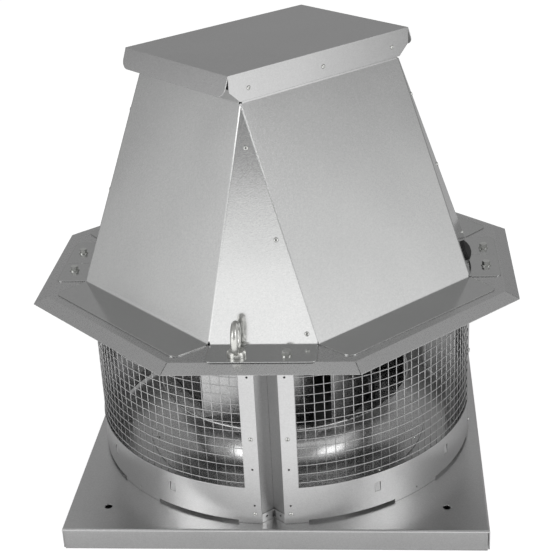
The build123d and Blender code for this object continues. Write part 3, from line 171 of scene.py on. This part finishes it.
backdrop = node(tree, "ShaderNodeMixShader", None, i0=path.outputs["Is Camera Ray"], i1=soft.outputs[0],
                i2=plain.outputs[0])
node(tree, "ShaderNodeOutputWorld", None, Surface=backdrop.outputs[0])

lamp_target, lamp_width = np.array([0.0, 0.0, 0.3]), 1.4
for name, stand, power in (("soft_lamp_left", (-1.9, -1.5, 1.9), 16.0), ("soft_lamp_right", (2.1, -1.1, 2.2), 14.0)):
    lamp_data = bpy.data.lights.new(name, "AREA")
    lamp_data.energy = power
    lamp_data.shape = "SQUARE"
    lamp_data.size = lamp_width
    lamp = bpy.data.objects.new(name, lamp_data)
    back = np.array(stand) - lamp_target
    back /= np.linalg.norm(back)
    side = np.cross([0.0, 0.0, 1.0], back)
    side /= np.linalg.norm(side)
    lamp.matrix_world = placed(side, np.cross(back, side), back, stand)
    bpy.context.scene.collection.objects.link(lamp)


# Base tray: one square of 2 mm hot-dip galvanised sheet with its edges folded down over the roof
# curb. The zinc froze into fine crystals a millimetre or two wide, each a slightly other grey.
def galvanised(name, dull="#B6B6B6", bright="#D8D8D8", roughness=0.27, crystal_mm=1.3, ripple=0.06,
               edge=0.0009):
    """Zinc-coated sheet: crystals as cells of a noise-shifted Voronoi pattern that mix two greys and
    two roughnesses, over a slow cloudiness of the coating and the sheet's own shallow waves. Edges
    are rounded as a shear leaves them, and painted shade darkens the colour in the joints."""
    material, tree = paint(name)
    place = node(tree, "ShaderNodeTexCoord").outputs["Object"]
    warp_reach, cell_share, cloud_share = 0.004, 0.55, 0.6
    warp = node(tree, "ShaderNodeTexNoise", {"Scale": 260.0, "Detail": 2.0, "Roughness": 0.6}, Vector=place)
    shifted = node(tree, "ShaderNodeVectorMath", {"operation": "MULTIPLY_ADD", 1: (warp_reach,) * 3},
                   i0=warp.outputs["Color"], i2=place)
    cells = node(tree, "ShaderNodeTexVoronoi", {"Scale": 1000.0 / crystal_mm, "Randomness": 1.0},
                 Vector=shifted.outputs[0])
    shade = node(tree, "ShaderNodeSeparateColor", None, Color=cells.outputs["Color"])
    fine = node(tree, "ShaderNodeTexNoise", {"Scale": 700.0, "Detail": 3.0, "Roughness": 0.7}, Vector=place)
    cloud = node(tree, "ShaderNodeTexNoise", {"Scale": 9.0, "Detail": 3.0, "Roughness": 0.55}, Vector=place)
    crystal = node(tree, "ShaderNodeMath", {"operation": "MULTIPLY_ADD", 1: cell_share}, i0=shade.outputs[0],
                   i2=fine.outputs["Fac"])
    tone = node(tree, "ShaderNodeMath", {"operation": "MULTIPLY_ADD", 1: cloud_share}, i0=cloud.outputs["Fac"],
                i2=crystal.outputs[0])
    share = node(tree, "ShaderNodeMapRange", {"From Min": 0.1, "From Max": 2.05}, Value=tone.outputs[0])
    colour = node(tree, "ShaderNodeValToRGB", None, Fac=share.outputs[0])
    colour.color_ramp.elements[0].color = linear(dull)
    colour.color_ramp.elements[1].color = linear(bright)
    # Painted shade: ambient occlusion darkens the colour in joints and creases, down to 0.42 of it.
    nook = node(tree, "ShaderNodeAmbientOcclusion", {"Distance": 0.005, "samples": 6})
    painted_joint_shade = node(tree, "ShaderNodeMapRange", {"From Min": 0.25, "From Max": 0.62, "To Min": 0.42, "To Max": 1.0},
                 Value=nook.outputs["AO"])
    colour_with_painted_shade = node(tree, "ShaderNodeVectorMath", {"operation": "SCALE"}, i0=colour.outputs[0],
                Scale=painted_joint_shade.outputs[0])
    gloss = node(tree, "ShaderNodeMapRange", {"From Min": 0.3, "From Max": 1.3, "To Min": roughness - 0.02,
                                              "To Max": roughness + 0.03}, Value=crystal.outputs[0])
    sheared = node(tree, "ShaderNodeBevel", {"Radius": edge, "samples": 4})
    waves = node(tree, "ShaderNodeTexNoise", {"Scale": 5.5, "Detail": 1.0, "Roughness": 0.4}, Vector=place)
    sheet = node(tree, "ShaderNodeBump", {"Strength": ripple, "Distance": 0.02}, Height=waves.outputs["Fac"],
                 Normal=sheared.outputs[0])
    grain = node(tree, "ShaderNodeBump", {"Strength": 0.05, "Distance": 0.0003}, Height=crystal.outputs[0],
                 Normal=sheet.outputs[0])
    shader = node(tree, "ShaderNodeBsdfPrincipled", {"Metallic": 1.0},
                  **{"Base Color": colour_with_painted_shade.outputs[0], "Roughness": gloss.outputs[0],
                     "Normal": grain.outputs[0]})
    node(tree, "ShaderNodeOutputMaterial", None, Surface=shader.outputs[0])
    return material


def dress(material, *names):
    """Puts one material on each of these solids."""
    for name in names:
        slots = nodes[name].data.materials
        for index in range(len(slots)):
            slots[index] = material
        if not len(slots):
            slots.append(material)


tray_zinc = galvanised("hot_dip_galvanised_tray_sheet", "#BCBCBC", "#DEDEDE", 0.30)
dress(tray_zinc, "base_plate")

# Guard frames: four quarters of 1.25 mm galvanised sheet, blanked as a band and two strips and
# rolled to the guard's circle, then riveted to the posts. The foot brackets are folded from 1.5 mm.
quarters = ("front_right", "back_right", "back_left", "front_left")
guard_zinc = galvanised("rolled_galvanised_guard_sheet", "#BCBCBC", "#DCDCDC", 0.30)
dress(guard_zinc, *["guard_frame_" + place for place in quarters])
dress(guard_zinc, *["post_foot_" + place for place in ("front", "right", "back", "left")])


# Guard wires: welded mesh of 1.15 mm galvanised wire at 13.7 mm pitch, behind the frame, its ring
# wires outside and its upright wires inside, pressed a little into each other at each weld.
def wire_tubes(paths, radius, sides=6):
    """Closed tubes: each point is path + radius * (cos t * n + sin t * b), with n the outward and b
    the other normal of the path, and each end is drawn in to its middle."""
    verts, faces, start = [], [], 0
    turn = np.linspace(0, 2 * np.pi, sides, endpoint=False)
    for line in paths:
        line = np.asarray(line, float)
        along = np.gradient(line, axis=0)
        along /= np.linalg.norm(along, axis=1)[:, None]
        out = line * [1, 1, 0]
        out -= (out * along).sum(1)[:, None] * along
        out /= np.linalg.norm(out, axis=1)[:, None]
        other = np.cross(along, out)
        ring = (np.cos(turn)[None, :, None] * out[:, None] + np.sin(turn)[None, :, None] * other[:, None])
        points = (line[:, None] + radius * ring).reshape(-1, 3)
        verts += [points, line[:1], line[-1:]]
        n = len(line)
        i, j = np.meshgrid(np.arange(n - 1), np.arange(sides), indexing="ij")
        k = (j + 1) % sides
        quads = np.stack([i * sides + j, i * sides + k, (i + 1) * sides + k, (i + 1) * sides + j], -1)
        faces += (quads.reshape(-1, 4) + start).tolist()
        j = np.arange(sides)
        k = (j + 1) % sides
        foot, head = start + n * sides, start + n * sides + 1
        faces += np.stack([k + start, j + start, np.full(sides, foot)], -1).tolist()
        faces += np.stack([j + start + (n - 1) * sides, k + start + (n - 1) * sides,
                           np.full(sides, head)], -1).tolist()
        start += n * sides + 2
    return np.concatenate(verts), faces


def piece(name, verts, faces, body, slot, material, smooth=True):
    """A new object from points and faces, which moves with a body and holds the material in one material slot. The
    slot argument is not used.
    """
    mesh = bpy.data.meshes.new(name)
    mesh.from_pydata(np.asarray(verts).tolist(), [], faces)
    mesh.polygons.foreach_set("use_smooth", np.full(len(mesh.polygons), smooth))
    mesh.materials.append(material)
    made = bpy.data.objects.new(name, mesh)
    bpy.context.scene.collection.objects.link(made)
    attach(made, body)
    return made


wire, wire_pitch = 0.00115, 0.0137
weld_sink = 0.0002
mesh_outside = 0.28170
ring_radius = mesh_outside - wire / 2
upright_radius = ring_radius - wire + weld_sink
mesh_foot, mesh_head = 0.082, 0.3
ring_levels = np.arange(mesh_foot + wire, mesh_head, wire_pitch)
post_half = radians(6.0)
sweep = np.pi / 2 - 2 * post_half
uprights = int(round(sweep * ring_radius / wire_pitch))
wire_zinc = galvanised("galvanised_mesh_wire", "#C0C0C0", "#DEDEDE", 0.50, ripple=0.0)
for index, place in enumerate(quarters):
    first = (index - 1) * np.pi / 2 + post_half
    angles = first + sweep * np.linspace(0, 1, 49)
    lines = [np.stack([ring_radius * np.cos(angles), ring_radius * np.sin(angles),
                       np.full_like(angles, z)], -1) for z in ring_levels]
    rise = np.linspace(mesh_foot, mesh_head, 3)
    for angle in first + sweep * (np.arange(uprights) + 0.5) / uprights:
        lines.append(np.stack([np.full(3, upright_radius * np.cos(angle)),
                               np.full(3, upright_radius * np.sin(angle)), rise], -1))
    wires = piece("guard_wires_" + place, *wire_tubes(lines, wire / 2), "housing", "mesh_wire", wire_zinc)
    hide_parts("guard_mesh_" + place)

# Knock-out tongues: each slot in the guard's band keeps its punched 1.25 mm tongue, pushed in at
# the top. They stand 1 mm higher than the slots, so a narrow gap shows under them too.
tongue_level, slot_azimuth = 0.069, 14.2
tongue_half, tongue_sheet = 0.0043, 0.00125
tongue_ends = ((0.2829, tongue_level - 0.0078), (0.2815, tongue_level + 0.0067))
box_faces = ((0, 1, 5, 4), (1, 2, 6, 5), (2, 3, 7, 6), (3, 0, 4, 7), (3, 2, 1, 0), (4, 5, 6, 7))
verts, faces = [], []
for azimuth in (radians(45 + 90 * quarter + side * slot_azimuth) for quarter in range(4) for side in (-1, 1)):
    out = np.array([np.cos(azimuth), np.sin(azimuth), 0])
    beside = np.array([-out[1], out[0], 0])
    faces += [[len(verts) + i for i in face] for face in box_faces]
    for reach, z in tongue_ends:
        for depth, side in ((0, -1), (0, 1), (tongue_sheet, 1), (tongue_sheet, -1)):
            verts.append(out * (reach - depth) + beside * side * tongue_half + [0, 0, z])
piece("guard_tongues", verts, faces, "housing", "galvanised_guard", guard_zinc, smooth=False)

# Posts: pairs of folded 1.5 mm galvanised sheets riveted back to back between the guard's
# quarters, which carry the motor plate. Their greys are darker than the other sheets': painted shade
# for the fan's own shade that they stand in.
post_zinc = galvanised("folded_galvanised_post_sheet", "#9C9C9C", "#BEBEBE", 0.34)
dress(post_zinc, *[name for name in nodes if name.startswith("post_") and name.endswith("side")])

# Motor plate: an eight-sided 2 mm galvanised sheet, carried by the posts and the guard, with eight
# skirts folded down to shed rain and mitred at its corners.
plate_zinc = galvanised("galvanised_motor_plate_sheet", "#BABABA", "#DADADA", 0.28)
dress(plate_zinc, "motor_plate")

# Hood: four 1.25 mm galvanised sheets, each a leaning face with a corner panel folded off it,
# riveted along the laps, with folded feet bolted to the plate.
hood_zinc = galvanised("galvanised_hood_sheet", "#BABBBB", "#D8D8D7", 0.12, edge=0.0018)
dress(hood_zinc, *[name for name in nodes if name.startswith("hood_sheet")])

# Cap: a flat 1.25 mm galvanised lid with its long skirts riveted to the hood and its short ones
# flared out over the vents, and a flat tie across each open end.
cap_zinc = galvanised("galvanised_cap_sheet", "#BABABA", "#D8D8D8", 0.20)
dress(cap_zinc, "cap", "vent_bars")

# Inlet nozzle and impeller: spun and pressed zinc-coated steel, smoother where the roller ran.
# The nozzle is riveted to the tray, and the impeller's blades join its shroud and back plate.
spun_zinc = galvanised("spun_zinc_coated_steel", "#BCBCBC", "#DADADA", 0.26, ripple=0.02)
dress(spun_zinc, "inlet_nozzle", "impeller_shroud", "impeller_back_plate",
      *[name for name in nodes if name.startswith("impeller_blade")])


# Fasteners: turned bolts, nuts and rivets in bright zinc plate, and lifting eyes forged in one with
# their collars, which are plated too and a little rougher.
def plated(name, tint, roughness, metallic=1.0):
    """A turned, forged or moulded finish: one colour with faint blotches and a faintly uneven gloss,
    darkened by painted shade in narrow pits and corners."""
    material, tree = paint(name)
    place = node(tree, "ShaderNodeTexCoord").outputs["Object"]
    blotch = node(tree, "ShaderNodeTexNoise", {"Scale": 240.0, "Detail": 3.0}, Vector=place)
    colour = node(tree, "ShaderNodeValToRGB", None, Fac=blotch.outputs["Fac"])
    base = np.array(linear(tint))
    for stop, change in zip(colour.color_ramp.elements, (0.90, 1.06)):
        stop.color = (*np.minimum(base[:3] * change, 1.0), 1.0)
    # Painted shade: ambient occlusion darkens the colour in pits and corners, down to 0.12 of it.
    nook = node(tree, "ShaderNodeAmbientOcclusion", {"Distance": 0.0012, "samples": 6})
    painted_pit_shade = node(tree, "ShaderNodeMapRange", {"From Min": 0.3, "From Max": 0.75, "To Min": 0.12, "To Max": 1.0},
                 Value=nook.outputs["AO"])
    colour_with_painted_shade = node(tree, "ShaderNodeVectorMath", {"operation": "SCALE"}, i0=colour.outputs[0],
                Scale=painted_pit_shade.outputs[0])
    gloss = node(tree, "ShaderNodeMapRange", {"To Min": roughness - 0.03, "To Max": roughness + 0.05},
                 Value=blotch.outputs["Fac"])
    bump = node(tree, "ShaderNodeBump", {"Strength": 0.03, "Distance": 0.0002}, Height=blotch.outputs["Fac"])
    shader = node(tree, "ShaderNodeBsdfPrincipled", {"Metallic": metallic},
                  **{"Base Color": colour_with_painted_shade.outputs[0], "Roughness": gloss.outputs[0], "Normal": bump.outputs[0]})
    node(tree, "ShaderNodeOutputMaterial", None, Surface=shader.outputs[0])
    return material


bright_zinc = plated("bright_zinc_plate", "#DADBD8", 0.22)
dress(bright_zinc, "nozzle_rivets", "post_rivets", "guard_rivets", "hood_rivets", "hood_bolts", "cap_rivets",
      "hub_screw", "hub_rivets", "motor_bolts", "motor_nuts")
forged_zinc = plated("zinc_plated_forging", "#D6D6D2", 0.30)
dress(forged_zinc, "lifting_eye_front", "lifting_eye_back")

# Blind rivets: zinc-plated domed heads of 6.6 mm, pulled from outside. The broken mandrel stays in
# the middle of each head as a small pin sunk in a round pit, and the set tail closes the inside.
def turned_on(places, profile, sides=20):
    """One closed turned body at each place: origin + r * (cos t * x + sin t * y) + h * normal, with
    (r, h) run along the profile from its middle to its middle and t once round."""
    profile = np.asarray(profile, float)
    turn = np.linspace(0, 2 * np.pi, sides, endpoint=False)
    rows = len(profile) - 2
    verts, faces, start = [], [], 0
    for origin, normal in places:
        normal = np.asarray(normal, float) / np.linalg.norm(normal)
        x = np.cross([0.31, 0.17, 0.93], normal)
        x /= np.linalg.norm(x)
        y = np.cross(normal, x)
        ring = np.cos(turn)[:, None] * x + np.sin(turn)[:, None] * y
        body = (profile[1:-1, :1, None] * ring[None] + profile[1:-1, 1:, None] * normal).reshape(-1, 3)
        ends = profile[[0, -1], 1][:, None] * normal
        verts.append(np.concatenate([body, ends]) + np.asarray(origin, float))
        i, j = np.meshgrid(np.arange(rows - 1), np.arange(sides), indexing="ij")
        k = (j + 1) % sides
        quads = np.stack([i * sides + j, (i + 1) * sides + j, (i + 1) * sides + k, i * sides + k], -1)
        faces += (quads.reshape(-1, 4) + start).tolist()
        j = np.arange(sides)
        k = (j + 1) % sides
        faces += (np.stack([j, k, np.full(sides, rows * sides)], -1) + start).tolist()
        last = (rows - 1) * sides
        faces += (np.stack([k + last, j + last, np.full(sides, rows * sides + 1)], -1) + start).tolist()
        start += rows * sides + 2
    return np.concatenate(verts), faces


def rivet_profile(grip):
    """Half section in metres: pin end, pit wall, dome as a parabola from the pit's rim to the edge of
    the head, under the head to the shank, and the tail below the grip."""
    rim, edge, crown = 1.45, 3.3, 1.7
    r = np.linspace(rim, edge, 6)
    dome = np.stack([r, crown * (1 - ((r - rim) / (edge - rim)) ** 2)], -1)
    return np.concatenate([[[0, 0.9], [0.7, 0.75], [0.85, 0.2], [1.25, 0.15], [1.35, 1.55]], dome,
                           [[3.2, 0], [2, 0], [2, -grip], [2.8, -grip], [2.6, -grip - 1.5],
                            [0, -grip - 1.6]]]) * 0.001


def turned_half(places):
    """The same places, and those after half a turn about the fan's axis."""
    half = np.array([-1, -1, 1])
    return places + [(np.array(p) * half, np.array(n) * half) for p, n in places]


guard_reach, strip_azimuth, strip_rises = 0.283, radians(5.075), (0.048, 0.168)
guard_places = []
for azimuth in (quarter * np.pi / 2 + side * strip_azimuth - np.pi / 2 for quarter in range(4) for side in (-1, 1)):
    out = np.array([np.cos(azimuth), np.sin(azimuth), 0])
    guard_places += [(out * guard_reach + [0, 0, z], out) for z in strip_rises]

# The hood's seams run from a foot of each corner triangle to its apex, and the other foot gives the
# triangle's plane.
seam_rises, seam_inset = (0.017, 0.134, 0.247), 0.011
triangles = (((0.073, -0.2796, 0.310), (-0.02312, -0.18088, 0.6075), (-0.073, -0.2796, 0.310)),
             ((0.2796, 0.073, 0.310), (0.18088, 0.02312, 0.6075), (0.2796, -0.073, 0.310)))
seam_places = []
for foot, apex, neighbour in (np.array(corner_points) for corner_points in triangles):
    along = (apex - foot) / np.linalg.norm(apex - foot)
    normal = np.cross(along, neighbour - foot)
    normal *= np.sign(normal[:2] @ (foot + neighbour)[:2]) / np.linalg.norm(normal)
    inward = np.cross(along, normal)
    inward *= np.sign(inward @ (neighbour - foot))
    seam_places += [(foot + along * rise / along[2] + inward * seam_inset, normal) for rise in seam_rises]

skirt_reach, skirt_rivet_level, skirt_rivet_pitch, diagonal = 0.11285, 0.6258, 0.13, 0.70711
cap_places = [(((u + skirt_reach) * diagonal, (u - skirt_reach) * diagonal, skirt_rivet_level), (1, -1, 0))
              for u in (-skirt_rivet_pitch, 0, skirt_rivet_pitch)]
guard_grip, sheet_grip = 5.3, 2.55
for name, places, grip in (("guard_rivets", guard_places, guard_grip),
                           ("hood_rivets", turned_half(seam_places), sheet_grip),
                           ("cap_rivets", turned_half(cap_places), sheet_grip)):
    heads = piece("pulled_" + name, *turned_on(places, rivet_profile(grip)), "housing", "zinc_fastener", bright_zinc)
    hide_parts(name)

# Grommet: black moulded rubber, pressed into the cable hole of the right panel, its lips on both
# sides of the sheet.
rubber = plated("moulded_black_rubber", "#1C1C1C", 0.62, metallic=0.0)
dress(rubber, "cable_grommet")

# Motor: shields, barrel and cowl in grey enamel, bolted to the plate, with a turned steel shaft,
# bearings and hub, and the cooling fan and terminal box moulded in black plastic.
enamel = plated("grey_motor_enamel", "#5A5D60", 0.42, metallic=0.0)
dress(enamel, "motor_flange_shield", "motor_stator", "motor_rear_shield", "motor_fan_cowl")
turned = plated("turned_steel", "#A4A4A6", 0.3)
dress(turned, "motor_rotor", "motor_bearings", "impeller_hub")
plastic = plated("moulded_black_plastic", "#232323", 0.5, metallic=0.0)
dress(plastic, "cooling_fan", "terminal_box")
